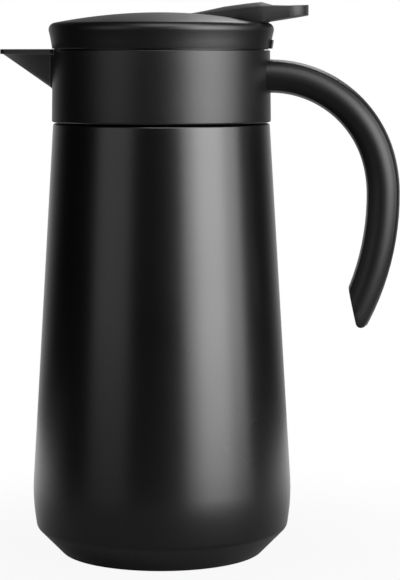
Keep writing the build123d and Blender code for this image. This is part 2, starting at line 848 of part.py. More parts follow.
# Lid cap: a domed shell with a slot for the lever and lugs for its pin
with BuildPart() as lid_cap:
    with BuildSketch(Plane.XZ):
        edge_z = dome_z(lid_edge_radius)
        skirt_inner = skirt_bottom_radius - skirt_wall
        with BuildLine():
            Line((0, lid_top_z - lid_wall), (0, lid_top_z))
            ThreePointArc(
                (0, lid_top_z), (lid_edge_radius / 2, dome_z(lid_edge_radius / 2)),
                (lid_edge_radius, edge_z),
            )
            Polyline(
                (lid_edge_radius, edge_z), (skirt_waist_radius, skirt_waist_z),
                (skirt_bottom_radius, skirt_bottom_z), (skirt_inner, skirt_bottom_z),
                (skirt_inner, dome_z(skirt_inner) - lid_wall),
            )
            ThreePointArc(
                (skirt_inner, dome_z(skirt_inner) - lid_wall),
                (skirt_inner / 2, dome_z(skirt_inner / 2) - lid_wall),
                (0, lid_top_z - lid_wall),
            )
        make_face()
        edge_corner = vertices().sort_by_distance((lid_edge_radius, edge_z))[0]
        fillet(edge_corner, radius=lid_edge_round)
        waist = vertices().sort_by_distance((skirt_waist_radius, skirt_waist_z))[0]
        fillet(waist, radius=skirt_waist_round)
    revolve(axis=Axis.Z)
    # Lugs under the dome for the lever's pin, one each side of the arm
    for side in (1, -1):
        lug_half = pivot_boss_radius - pin_fit
        lug_top_z = dome_z(pivot_x + pivot_boss_radius) - lid_wall / 2
        with BuildSketch(Plane.XZ.offset(-side * lever_core_half)):
            with BuildLine():
                Polyline(
                    (pivot_x - lug_half, pivot_z), (pivot_x - lug_half, lug_top_z),
                    (pivot_x + lug_half, lug_top_z), (pivot_x + lug_half, pivot_z),
                )
                ThreePointArc(
                    (pivot_x + lug_half, pivot_z), (pivot_x, pivot_z - lug_half),
                    (pivot_x - lug_half, pivot_z),
                )
            make_face()
        extrude(amount=-side * (lever_slot_gap + lug_plate))
    # Bosses for the screws from below
    with BuildSketch(Plane.XY.offset(flange_top_z)):
        with PolarLocations(lid_screw_circle, lid_screw_count, start_angle=45):
            Circle(lid_boss_radius)
    extrude(amount=dome_z(lid_screw_circle) - lid_wall / 2 - flange_top_z)
    with BuildSketch(Plane.XY.offset(flange_top_z)):
        with PolarLocations(lid_screw_circle, lid_screw_count, start_angle=45):
            Circle(lid_screw_radius + screw_hole_fit / 2)
    extrude(amount=lid_screw_length - flange_thickness + overshoot, mode=Mode.SUBTRACT)
    # Alignment tab on the skirt, above the handle
    with BuildSketch(Plane.XZ):
        tab_root = skirt_inner + skirt_wall / 2
        with BuildLine():
            Polyline(
                (tab_root, skirt_bottom_z), (tab_bottom_radius, skirt_bottom_z),
                (tab_top_radius, tab_top_z), (tab_root, tab_top_z), close=True,
            )
        make_face()
    extrude(amount=tab_width / 2, both=True)
    add(slot_prism(lever_slot_gap), mode=Mode.SUBTRACT)
    with Locations((pivot_x, 0, pivot_z)):
        Cylinder(pivot_pin_radius + pin_fit / 2, 2 * paddle_half, rotation=(90, 0, 0),
                 mode=Mode.SUBTRACT)

# Screws that hold the stopper in the lid cap
with BuildPart() as lid_screws:
    with (
        Locations(Plane.XY.offset(flange_z)),
        PolarLocations(lid_screw_circle, lid_screw_count, start_angle=45),
    ):
        Cylinder(lid_screw_radius, lid_screw_length, align=(Align.CENTER, Align.CENTER, Align.MIN))
        Cone(lid_screw_head_radius, lid_screw_radius, lid_screw_head_height,
             align=(Align.CENTER, Align.CENTER, Align.MIN))

# Thumb lever: a crowned top, flared at the paddle, on a forked arm
with BuildPart() as thumb_lever:
    low_z = pivot_z - lever_depth
    reach = paddle_half + lever_clearance
    for x, ridge_z, edge_z, half in lever_sections:
        crown = ridge_z - edge_z
        crown_radius = (half ** 2 + crown ** 2) / (2 * crown)
        far_z = ridge_z - crown_radius + sqrt(crown_radius ** 2 - reach ** 2)
        with BuildSketch(Plane(origin=(x, 0, 0), x_dir=(0, 1, 0), z_dir=(1, 0, 0))):
            with BuildLine():
                ThreePointArc((-reach, far_z), (0, ridge_z), (reach, far_z))
                Polyline((reach, far_z), (reach, low_z), (-reach, low_z), (-reach, far_z))
            make_face()
    loft(ruled=True)
    with BuildSketch(Plane.XY.offset(low_z)):
        add(paddle_outline.sketch)
    extrude(amount=3 * lever_depth, mode=Mode.INTERSECT)
    # Side outline: link boss in front, pivot boss, then the rising underside of the paddle
    with BuildSketch(Plane.XZ):
        front_x = -lever_front - overshoot
        back_x = paddle_end + overshoot
        high_z = lid_top_z + lever_depth
        with BuildLine():
            Polyline(
                (link_boss_radius, link_z), (link_boss_radius, arm_underside_z),
                (pivot_x - pivot_boss_radius, arm_underside_z), (pivot_x - pivot_boss_radius, pivot_z),
            )
            ThreePointArc(
                (pivot_x - pivot_boss_radius, pivot_z), (pivot_x, pivot_z - pivot_boss_radius),
                (pivot_x + pivot_boss_radius, pivot_z),
            )
            Polyline(
                (pivot_x + pivot_boss_radius, pivot_z), paddle_heel, paddle_root,
                (back_x, paddle_end_z), (back_x, high_z), (front_x, high_z),
                (front_x, arm_underside_z + overshoot), (-link_boss_radius, arm_underside_z),
                (-link_boss_radius, link_z),
            )
            ThreePointArc(
                (-link_boss_radius, link_z), (0, link_z - link_boss_radius), (link_boss_radius, link_z),
            )
        make_face()
    extrude(amount=2 * paddle_half, both=True, mode=Mode.INTERSECT)
    add(lid_room.part, mode=Mode.SUBTRACT)
    pivot_axis = Axis((pivot_x, 0, pivot_z), (0, 1, 0))
    add(lid_room.part.rotate(pivot_axis, -lever_travel), mode=Mode.SUBTRACT)
    # Fork for the stem's tongue, and the holes for the two pins
    with BuildSketch(Plane.XY.offset(stem_top_z)):
        Rectangle(tongue_width + 4 * link_slot_play, tongue_thickness + 2 * link_slot_play)
    extrude(amount=tongue_top_z + 2 * link_slot_play - stem_top_z, mode=Mode.SUBTRACT)
    with Locations((0, 0, link_z)):
        Cylinder(link_pin_radius + pin_fit / 2, 2 * paddle_half, rotation=(90, 0, 0),
                 mode=Mode.SUBTRACT)
    with Locations((pivot_x, 0, pivot_z)):
        Cylinder(pivot_pin_radius + pin_fit, 2 * paddle_half, rotation=(90, 0, 0),
                 mode=Mode.SUBTRACT)

with BuildPart() as lever_pin:
    with Locations((pivot_x, 0, pivot_z)):
        Cylinder(pivot_pin_radius, 2 * (lever_core_half + lever_slot_gap + lug_plate),
                 rotation=(90, 0, 0))

with BuildPart() as link_pin:
    with Locations((0, 0, link_z)):
        Cylinder(link_pin_radius, 2 * lever_core_half, rotation=(90, 0, 0))

pieces = {
    "outer_shell": outer_shell,
    "outer_base": outer_base,
    "vacuum_seal": vacuum_seal,
    "getter": getter,
    "inner_liner": inner_liner,
    "liner_base": liner_base,
    "collar": collar,
    "neck_ring": neck_ring,
    "neck_seal": neck_seal,
    "handle": handle,
    "handle_screws": handle_screws,
    "lid_cap": lid_cap,
    "lid_screws": lid_screws,
    "stopper_body": stopper_body,
    "stopper_cover": stopper_cover,
    "stem_seal": stem_seal,
    "stopper_gasket": stopper_gasket,
    "valve_stem": valve_stem,
    "valve_seal": valve_seal,
    "valve_spring": valve_spring,
    "thumb_lever": thumb_lever,
    "lever_pin": lever_pin,
    "link_pin": link_pin,
}
os.makedirs("parts", exist_ok=True)
for name, piece in pieces.items():
    piece.part.label = name
    export_step(piece.part, f"parts/{name}.step")
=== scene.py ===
"""A black vacuum carafe with a lever lid, a duckbill spout and an open cane handle."""

import json
from math import atan, atan2, ceil, cos, pi, radians, sin, sqrt, tan

import bmesh
import bpy
from bpy.props import FloatProperty, FloatVectorProperty, IntProperty, PointerProperty
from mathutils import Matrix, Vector

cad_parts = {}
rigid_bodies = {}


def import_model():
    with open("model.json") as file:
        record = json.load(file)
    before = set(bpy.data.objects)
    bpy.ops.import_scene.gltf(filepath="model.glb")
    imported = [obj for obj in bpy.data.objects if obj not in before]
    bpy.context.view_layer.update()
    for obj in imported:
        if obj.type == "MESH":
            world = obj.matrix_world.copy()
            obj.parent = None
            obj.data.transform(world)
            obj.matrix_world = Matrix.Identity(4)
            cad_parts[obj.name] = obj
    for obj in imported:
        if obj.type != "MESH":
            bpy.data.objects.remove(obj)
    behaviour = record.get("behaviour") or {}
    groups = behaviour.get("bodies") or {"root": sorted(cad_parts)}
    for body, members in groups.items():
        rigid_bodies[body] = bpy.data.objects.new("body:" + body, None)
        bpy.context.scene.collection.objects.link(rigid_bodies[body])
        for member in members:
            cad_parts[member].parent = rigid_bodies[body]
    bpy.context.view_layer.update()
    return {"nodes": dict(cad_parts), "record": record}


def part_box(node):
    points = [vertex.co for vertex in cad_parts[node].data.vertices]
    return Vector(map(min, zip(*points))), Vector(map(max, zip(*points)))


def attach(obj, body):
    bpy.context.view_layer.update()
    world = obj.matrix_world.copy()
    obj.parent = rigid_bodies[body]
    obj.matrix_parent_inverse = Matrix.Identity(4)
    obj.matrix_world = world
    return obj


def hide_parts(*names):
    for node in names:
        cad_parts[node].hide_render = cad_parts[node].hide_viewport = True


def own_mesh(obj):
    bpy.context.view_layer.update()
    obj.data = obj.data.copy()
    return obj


bl_info = {
    "name": "Vacuum carafe",
    "version": (1, 0, 0),
    "blender": (4, 5, 0),
    "location": "3D View > Sidebar > Carafe",
    "description": "Models and dresses a vacuum carafe with a lever lid round its packed frame",
    "category": "Add Mesh",
}

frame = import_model()

MM = 0.001
AROUND = 192                    # sides of the turned pieces
ARC_PACE = radians(7)           # turn between the points of an arc, at most
ARC_STEPS = 4                   # steps of an arc, at least
CHANNEL_STEPS = 7               # steps from the middle of the channel to its edge
MERGE_DISTANCE = MM / 200       # vertices nearer than this become one
COPY_MERGE_DISTANCE = MM / 500  # the same for a copy of a frame node
GRAIN_DEPTH = MM / 10           # depth of the moulded grain at full strength
UNEVENNESS = 0.06               # how far the roughness wanders

# The hole in the base, which a disc closes, and the floor of the channel in the collar
PUMP_HOLE = 1.6 * MM
CHANNEL_FLOOR_Z = 217.0 * MM

# Radius and turn of the handle's arcs, from the collar to the free end
HANDLE_ARCS = ((50.9 * MM, radians(75)), (61.3 * MM, radians(14)), (120.3 * MM, radians(32)))

# Heights and the spout's reach, which the frame gives
_, shell_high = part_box("outer_shell")
collar_low, collar_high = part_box("collar")
lid_low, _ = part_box("lid_cap")
RIM_Z = shell_high[2]
COLLAR_BOTTOM_Z = collar_low[2]
SPOUT_TOP_Z = collar_high[2]
SPOUT_REACH = -collar_low[0]
SKIRT_BOTTOM_Z = lid_low[2]


def length(name, description, default):
    """A size in metres that a user can change."""
    return FloatProperty(name=name, description=description, default=default, min=0.0,
                         unit="LENGTH", precision=5)


def colour(name, description, default):
    """A colour that a user can change."""
    return FloatVectorProperty(name=name, description=description, default=default, size=4,
                               subtype="COLOR", min=0.0, max=1.0)


class CarafeBodySizes(bpy.types.PropertyGroup):
    """Sizes of the coated steel body."""

    foot_radius: length("Foot radius", "Where the foot and the bevel would meet", 0.0462)
    foot_width: length("Foot width", "Width of the flat ring that it stands on", 0.0048)
    base_recess: length("Base recess", "Height of the middle of the base", 0.0045)
    crease_radius: length("Crease radius", "Radius at the edge over the bevel", 0.05825)
    crease_height: length("Crease height", "Height of the edge over the bevel", 0.0124)
    belly_radius: length("Belly radius", "Where the lower and the upper side would meet", 0.0601)
    belly_height: length("Belly height", "Height where they would meet", 0.026)
    belly_round: length("Belly round", "Radius of the soft turn at the belly", 0.0868)
    taper: FloatProperty(name="Taper", description="How far the side leans in",
                         default=radians(3.5), subtype="ANGLE")
    top_height: length("Top height", "Height of the shoulder under the collar", 0.1984)
    neck_radius: length("Neck radius", "Outer radius of the steel neck", 0.0426)
    bore_radius: length("Bore radius", "Inner radius of the neck", 0.0385)
    wall: length("Wall", "Thickness of the steel", 0.0006)


class CarafeCollarSizes(bpy.types.PropertyGroup):
    """Sizes of the collar and its spout."""

    bottom_radius: length("Bottom radius", "Outer radius at the body", 0.0501)
    top_radius: length("Top radius", "Outer radius at the lid", 0.0496)
    top_height: length("Top height", "Height of the collar's rim", 0.2316)
    wall: length("Wall", "Thickness of the collar", 0.0023)
    deck_height: length("Deck height", "Top of the deck over the steel rim", 0.2166)
    deck_thickness: length("Deck thickness", "Thickness of that deck", 0.0022)
    deck_bore: length("Deck bore", "Radius of the hole in the deck", 0.0392)
    spout_root: length("Spout root", "Distance of the spout's root from the axis", 0.0455)
    spout_root_half: length("Root half width", "Half of the spout's width at its root", 0.0146)
    spout_tip_half: length("Tip half width", "Half of the spout's width at its tip", 0.0042)
    spout_tip_depth: length("Tip depth", "Depth of the spout at its tip", 0.00185)
    spout_tip_round: length("Tip round", "Round of the tip seen from above", 0.0034)
    spout_wall: length("Spout wall", "Thickness of the spout", 0.0018)
    lip: length("Lip", "How far the lip along the top edge stands out", 0.00045)
    lip_height: length("Lip height", "Height of that lip", 0.0022)
    flare: length("Flare", "Fillet between the spout and the collar", 0.0016)
    keel_angle: FloatProperty(name="Keel angle", description="Slope of the spout's lower edge",
                              default=radians(34.7), subtype="ANGLE")


class CarafeHandleSizes(bpy.types.PropertyGroup):
    """Sizes of the cane handle."""

    height: length("Height", "Across the handle, in its own plane", 0.0151)
    width: length("Width", "Across the handle, sideways", 0.023)
    edge_height: length("Edge height", "Height at the rounded edges", 0.0129)
    edge_width: length("Edge width", "Width between the rounded edges", 0.0160)
    edge_round: length("Edge round", "Radius of the rounded edges", 0.0012)
    root_height: length("Root height", "Height of the handle's middle at the collar", 0.2199)
    cut_x: length("Cut place", "Distance of the cut's upper corner from the axis", 0.086)
    cut_height: length("Cut height", "Height of the cut's upper corner", 0.124)
    cut_length: length("Cut length", "Length of the slanted cut", 0.0163)
    tip_round: length("Tip round", "Radius of the tip", 0.0027)
    cut_angle: FloatProperty(name="Cut angle", description="Lean of the slanted cut",
                             default=radians(12.7), subtype="ANGLE")


class CarafeLidSizes(bpy.types.PropertyGroup):
    """Sizes of the lid cap."""

    dome_radius: length("Dome radius", "Radius of the domed top", 0.2525)
    top_height: length("Top height", "Height of the middle of the dome", 0.2488)
    edge_radius: length("Edge radius", "Where the dome and the skirt would meet", 0.05205)
    edge_round: length("Edge round", "Round of that edge", 0.0032)
    waist_radius: length("Waist radius", "Radius of the skirt at its waist", 0.0506)
    waist_height: length("Waist height", "Height of the waist", 0.2376)
    skirt_radius: length("Skirt radius", "Outer radius at the skirt's lower edge", 0.04975)
    wall: length("Wall", "Thickness of the dome", 0.0021)
    lip_radius: length("Lip radius", "Outer radius of the lip under the skirt", 0.0488)
    lip_width: length("Lip width", "Thickness of that lip", 0.0012)
    lip_gap: length("Lip gap", "Gap between the lip and the collar's rim", 0.0003)
    slot_gap: length("Slot gap", "Gap round the lever in the lid", 0.0005)
    tab_width: length("Tab width", "Width of the tab above the handle", 0.010)


class CarafeFinishes(bpy.types.PropertyGroup):
    """Colours and finishes."""

    coat: colour("Coat", "Black powder coat of the body", (0.0012, 0.0012, 0.0013, 1.0))
    plastic: colour("Plastic", "Black plastic of the collar, the handle and the lid",
                    (0.0022, 0.0022, 0.0024, 1.0))
    inner: colour("Inner plastic", "Plastic of the stopper", (0.006, 0.006, 0.0065, 1.0))
    steel: colour("Steel", "Stainless steel", (0.62, 0.61, 0.59, 1.0))
    silicone: colour("Silicone", "Seals", (0.42, 0.43, 0.43, 1.0))
    grain: FloatProperty(name="Grain", description="Strength of the moulded grain", default=0.1,
                         min=0.0, max=1.0, subtype="FACTOR")


class CarafeStage(bpy.types.PropertyGroup):
    """Camera and floor."""

    distance: length("Distance", "From the axis to the camera", 1.010)
    camera_height: length("Camera height", "Height of the camera over the floor", 0.2295)
    azimuth: FloatProperty(name="Azimuth", description="Turn of the camera about the axis",
                           default=radians(6.0), subtype="ANGLE")
    heading: FloatProperty(name="Heading", description="Turn of the view away from the axis",
                           default=radians(1.0), subtype="ANGLE")
    pitch: FloatProperty(name="Pitch", description="How far the view looks down",
                         default=radians(6.1), subtype="ANGLE")
    lens: FloatProperty(name="Lens", description="Focal length in millimetres", default=136.55)
    sides: IntProperty(name="Floor sides", description="Sides of the round floor", default=96,
                       min=3)


class CarafeSettings(bpy.types.PropertyGroup):
    """All sizes and finishes of the carafe."""

    body: PointerProperty(type=CarafeBodySizes)
    collar: PointerProperty(type=CarafeCollarSizes)
    handle: PointerProperty(type=CarafeHandleSizes)
    lid: PointerProperty(type=CarafeLidSizes)
    finish: PointerProperty(type=CarafeFinishes)
    stage: PointerProperty(type=CarafeStage)


def settings():
    """The sizes and finishes stored in the scene."""
    return bpy.context.scene.carafe


# Outlines

def rounded(corners):
    """An open outline through corners of x, y and the radius of the corner's arc, or 0."""
    points = []
    for index, (x, y, radius) in enumerate(corners):
        here = Vector((x, y))
        if radius == 0:
            points.append(tuple(here))
            continue
        arriving = (here - Vector(corners[index - 1][:2])).normalized()
        leaving = (Vector(corners[index + 1][:2]) - here).normalized()
        turn = atan2(arriving.cross(leaving), arriving.dot(leaving))
        side = 1 if turn > 0 else -1
        inward = Vector((-arriving.y, arriving.x)) * side
        centre = here - arriving * radius * tan(abs(turn) / 2) + inward * radius
        steps = max(ARC_STEPS, ceil(abs(turn) / ARC_PACE))
        for step in range(steps + 1):
            points.append(swung(centre, -inward * radius, turn * step / steps))
    return points


def swung(centre, spoke, angle):
    """The end of a spoke that is turned about its centre."""
    return (centre.x + spoke.x * cos(angle) - spoke.y * sin(angle),
            centre.y + spoke.x * sin(angle) + spoke.y * cos(angle))


def divided(points, longest):
    """The same outline with its long straight runs divided."""
    result = [points[0]]
    for start, end in zip(points, points[1:]):
        run = Vector(end) - Vector(start)
        pieces = max(1, ceil(run.length / longest))
        for piece in range(1, pieces + 1):
            result.append(tuple(Vector(start) + run * piece / pieces))
    return result


# Modelling helpers

def select_only(piece):
    """Selects one piece and makes it the active one."""
    bpy.ops.object.select_all(action="DESELECT")
    piece.select_set(True)
    bpy.context.view_layer.objects.active = piece


def pick(piece, test):
    """Selects the vertices of a piece in edit mode that pass a test of their place."""
    edit = bmesh.from_edit_mesh(piece.data)
    for element in (*edit.faces, *edit.edges, *edit.verts):
        element.select = False
    found = [vertex for vertex in edit.verts if test(vertex.co)]
    if not found:
        raise RuntimeError(f"{piece.name}: nothing to select")
    for vertex in found:
        vertex.select = True
    edit.select_flush_mode()
    edit.select_flush(True)
    bmesh.update_edit_mesh(piece.data)


def close_solid(piece):
    """Merges doubles and turns all faces outwards, in edit mode, and leaves it."""
    bpy.ops.mesh.select_all(action="SELECT")
    bpy.ops.mesh.remove_doubles(threshold=MERGE_DISTANCE)
    bpy.ops.mesh.normals_make_consistent(inside=False)
    bpy.ops.object.mode_set(mode="OBJECT")


def extruded_from(vertex):
    """The vertex that an extrusion made from another one and left selected."""
    return next(edge.other_vert(vertex) for edge in vertex.link_edges
                if edge.other_vert(vertex).select)


def new_ring(name, sides, radius, height):
    """A ring of edges round the axis, in edit mode and selected."""
    bpy.ops.object.select_all(action="DESELECT")
    bpy.ops.mesh.primitive_circle_add(vertices=sides, radius=radius, location=(0, 0, height))
    piece = bpy.context.object
    piece.name = name
    piece.data.name = name
    bpy.ops.object.transform_apply(location=True, rotation=True, scale=True)
    bpy.ops.object.mode_set(mode="EDIT")
    bpy.ops.mesh.select_mode(type="VERT")
    bpy.ops.mesh.select_all(action="SELECT")
    return piece


def turned(name, profile, sides=AROUND, caps=True):
    """A turned piece: a ring extruded and resized along a profile of radius and height."""
    piece = new_ring(name, sides, *profile[0])
    for (radius_before, height_before), (radius, height) in zip(profile, profile[1:]):
        bpy.ops.mesh.extrude_edges_move(
            TRANSFORM_OT_translate={"value": (0, 0, height - height_before)})
        share = radius / radius_before
        bpy.ops.transform.resize(value=(share, share, 1), center_override=(0, 0, height))
    if caps:
        near = MM / 100
        for radius, height in (profile[0], profile[-1]):
            pick(piece, lambda place: abs(place.z - height) < near
                 and abs(place.xy.length - radius) < near)
            bpy.ops.mesh.edge_face_add()
    close_solid(piece)
    return piece


def skinned(name, sections):
    """A solid skinned over sections of equally many points, by extruding a ring."""
    piece = new_ring(name, len(sections[0]), MM, 0)
    edit = bmesh.from_edit_mesh(piece.data)
    edit.verts.ensure_lookup_table()
    ring = list(range(len(sections[0])))
    for index, section in enumerate(sections):
        if index > 0:
            bpy.ops.mesh.extrude_edges_move()
            edit = bmesh.from_edit_mesh(piece.data)
            edit.verts.index_update()
            edit.verts.ensure_lookup_table()
            ring = [extruded_from(edit.verts[old]).index for old in ring]
        for vertex, place in zip(ring, section):
            edit.verts[vertex].co = place
        bmesh.update_edit_mesh(piece.data)
    near = MM / 1000
    for section in (sections[0], sections[-1]):
        places = [Vector(place) for place in section]
        pick(piece, lambda co: any((co - place).length < near for place in places))
        bpy.ops.mesh.edge_face_add()
    close_solid(piece)
    return piece


def upright_prism(name, outline, low, high):
    """A solid with an outline seen from above."""
    return skinned(name, [[(x, y, height) for x, y in outline] for height in (low, high)])


def crosswise_prism(name, outline, half_width):
    """A solid with an outline seen from the side, as wide on both sides of the XZ plane."""
    return skinned(name, [[(x, y, z) for x, z in outline] for y in (-half_width, half_width)])


def combine(piece, tool, operation):
    """Applies a boolean with a tool, which is then deleted."""
    select_only(piece)
    bpy.ops.object.modifier_add(type="BOOLEAN")
    modifier = piece.modifiers[-1]
    modifier.operation = operation
    modifier.solver = "EXACT"
    modifier.object = tool
    bpy.ops.object.modifier_apply(modifier=modifier.name)
    select_only(tool)
    bpy.ops.object.delete()
    select_only(piece)


def soften(piece, width, angle, segments=3):
    """Rounds the edges that are sharper than an angle."""
    select_only(piece)
    bpy.ops.object.modifier_add(type="BEVEL")
    modifier = piece.modifiers[-1]
    modifier.width = width
    modifier.segments = segments
    modifier.limit_method = "ANGLE"
    modifier.angle_limit = angle
    modifier.harden_normals = False
    bpy.ops.object.modifier_apply(modifier=modifier.name)


def copy_of(node):
    """A copy of a frame node with its loose triangles merged."""
    select_only(frame["nodes"][node])
    bpy.ops.object.duplicate()
    piece = bpy.context.object
    bpy.ops.object.parent_clear(type="CLEAR_KEEP_TRANSFORM")
    piece.name = f"{node}_finished"
    piece.data.name = piece.name
    bpy.ops.mesh.customdata_custom_splitnormals_clear()
    bpy.ops.object.mode_set(mode="EDIT")
    bpy.ops.mesh.select_all(action="SELECT")
    bpy.ops.mesh.remove_doubles(threshold=COPY_MERGE_DISTANCE)
    bpy.ops.mesh.normals_make_consistent(inside=False)
    bpy.ops.object.mode_set(mode="OBJECT")
    return piece


def finish(piece, material, body, slot, nodes, angle=radians(30)):
    """Gives a piece its shading, its material, the body it rides on and what it stands for."""
    select_only(piece)
    bpy.ops.object.shade_smooth_by_angle(angle=angle)
    piece.data.materials.clear()
    piece.data.materials.append(material)
    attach(piece, body)
    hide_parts(*nodes)


# Materials

def node_group(name, inputs, outputs):
    """A shader node group with named sockets."""
    group = bpy.data.node_groups.new(name, "ShaderNodeTree")
    for socket, kind, default in inputs:
        made = group.interface.new_socket(name=socket, in_out="INPUT", socket_type=kind)
        if default is not None:
            made.default_value = default
    for socket, kind in outputs:
        group.interface.new_socket(name=socket, in_out="OUTPUT", socket_type=kind)
    return group


def feed(tree, socket, value):
    """Links an output to a socket, or sets the socket to a plain value."""
    if isinstance(value, bpy.types.NodeSocket):
        tree.links.new(value, socket)
    else:
        socket.default_value = value


def calculated(tree, kind, operation, *inputs):
    """The value that a Math or Vector Math node makes of outputs and plain values."""
    node = tree.nodes.new(kind)
    node.operation = operation
    for socket, value in zip(node.inputs, inputs):
        feed(tree, socket, value)
    return node.outputs["Value"]


def graded(tree, value, start, end, low=0.0, high=1.0, interpolation="SMOOTHSTEP"):
    """A value that goes from low to high while another goes from start to end."""
    node = tree.nodes.new("ShaderNodeMapRange")
    node.interpolation_type = interpolation
    given = {"Value": value, "From Min": start, "From Max": end, "To Min": low, "To Max": high}
    for socket, number in given.items():
        feed(tree, node.inputs[socket], number)
    return node.outputs["Result"]


def noise(tree, place, scale, detail):
    """The strength of a noise texture."""
    node = tree.nodes.new("ShaderNodeTexNoise")
    for socket, value in (("Vector", place), ("Scale", scale), ("Detail", detail)):
        feed(tree, node.inputs[socket], value)
    return node.outputs["Fac"]


def moulded_grain():
    """Fine grain of a coat or a mould: a height, and a roughness that varies a little."""
    if "Moulded grain" in bpy.data.node_groups:
        return bpy.data.node_groups["Moulded grain"]
    group = node_group(
        "Moulded grain",
        [("Vector", "NodeSocketVector", None), ("Grain size", "NodeSocketFloat", 2500.0),
         ("Roughness", "NodeSocketFloat", 0.4), ("Unevenness", "NodeSocketFloat", 0.05)],
        [("Height", "NodeSocketFloat"), ("Roughness", "NodeSocketFloat")],
    )
    cloud_scale = 24.0
    noise_middle = 0.5
    given = group.nodes.new("NodeGroupInput").outputs
    result = group.nodes.new("NodeGroupOutput").inputs
    fine = noise(group, given["Vector"], given["Grain size"], detail=2.0)
    broad = noise(group, given["Vector"], cloud_scale, detail=3.0)
    uneven = calculated(group, "ShaderNodeMath", "SUBTRACT", broad, noise_middle)
    roughness = calculated(group, "ShaderNodeMath", "MULTIPLY_ADD", uneven, given["Unevenness"],
                           given["Roughness"])
    feed(group, result["Height"], fine)
    feed(group, result["Roughness"], roughness)
    return group


def grained(name, base, roughness, grain_size, grain_strength, metallic=0.0, specular=0.5):
    """A material with the moulded grain."""
    if name in bpy.data.materials:
        return bpy.data.materials[name]
    material = bpy.data.materials.new(name)
    material.use_nodes = True
    tree = material.node_tree
    shader = tree.nodes["Principled BSDF"].inputs
    shader["Base Color"].default_value = base
    shader["Metallic"].default_value = metallic
    shader["Specular IOR Level"].default_value = specular
    place = tree.nodes.new("ShaderNodeTexCoord")
    grain = tree.nodes.new("ShaderNodeGroup")
    grain.node_tree = moulded_grain()
    grain.inputs["Grain size"].default_value = grain_size
    grain.inputs["Roughness"].default_value = roughness
    grain.inputs["Unevenness"].default_value = UNEVENNESS
    bump = tree.nodes.new("ShaderNodeBump")
    bump.inputs["Strength"].default_value = grain_strength
    bump.inputs["Distance"].default_value = GRAIN_DEPTH
    feed(tree, grain.inputs["Vector"], place.outputs["Object"])
    feed(tree, bump.inputs["Height"], grain.outputs["Height"])
    feed(tree, shader["Roughness"], grain.outputs["Roughness"])
    feed(tree, shader["Normal"], bump.outputs["Normal"])
    return material


def powder_coat():
    """Black powder coat with a soft satin sheen."""
    chosen = settings().finish
    return grained("Black powder coat", chosen.coat, roughness=0.28, grain_size=1400.0,
                   grain_strength=chosen.grain, specular=0.9)


def grained_plastic():
    """Black plastic of the collar and the lid, with a moulded grain."""
    chosen = settings().finish
    return grained("Grained black plastic", chosen.plastic, roughness=0.39, grain_size=1900.0,
                   grain_strength=4 * chosen.grain, specular=0.75)


def satin_plastic():
    """Black plastic of the handle, without a visible grain."""
    chosen = settings().finish
    return grained("Satin black plastic", chosen.plastic, roughness=0.42, grain_size=1900.0,
                   grain_strength=chosen.grain, specular=0.6)


def matt_plastic():
    """Black plastic of the lever, a little duller."""
    chosen = settings().finish
    return grained("Matt black plastic", chosen.plastic, roughness=0.56, grain_size=1900.0,
                   grain_strength=chosen.grain, specular=0.9)


def stopper_plastic():
    """Black plastic of the pieces inside the lid."""
    chosen = settings().finish
    return grained("Stopper plastic", chosen.inner, roughness=0.35, grain_size=900.0,
                   grain_strength=chosen.grain / 2)


def stainless_steel():
    """Stainless steel of the liner, the pins and the screws."""
    chosen = settings().finish
    return grained("Stainless steel", chosen.steel, roughness=0.28, grain_size=600.0,
                   grain_strength=chosen.grain / 4, metallic=1.0)


def silicone_rubber():
    """Grey silicone of the seals."""
    chosen = settings().finish
    return grained("Silicone", chosen.silicone, roughness=0.55, grain_size=700.0,
                   grain_strength=chosen.grain / 2)


# Shapes that more than one piece follows

def dome_height(radius):
    """Height of the lid's outer face at a radius."""
    lid = settings().lid
    return lid.top_height - lid.dome_radius + sqrt(lid.dome_radius ** 2 - radius ** 2)


def lever_outline(gap):
    """Half outline of the lever's arm from above, moved out by a gap, for the lid's slot."""
    nose_half = 8.0 * MM
    bend_x = 27.5 * MM
    bend_half = 11.9 * MM
    wide_x = 34.0 * MM
    wide_half = 13.99 * MM
    core_half = 7.2 * MM
    core_x = 48.0 * MM
    nose_steps = 12
    front = nose_half + gap
    arc = []
    for step in range(nose_steps):
        angle = step * pi / (2 * nose_steps)
        arc.append((-front * cos(angle), front * sin(angle)))
    return arc + [
        (0.0, nose_half + gap),
        (bend_x, bend_half + gap),
        (wide_x + gap, wide_half + gap),
        (wide_x + gap, core_half + gap),
        (core_x + gap, core_half + gap),
    ]


def both_sides(half):
    """A whole outline from its half on one side of the X axis."""
    mirrored = [(x, -y) for x, y in reversed(half) if y > 0]
    return half + mirrored


# Pieces

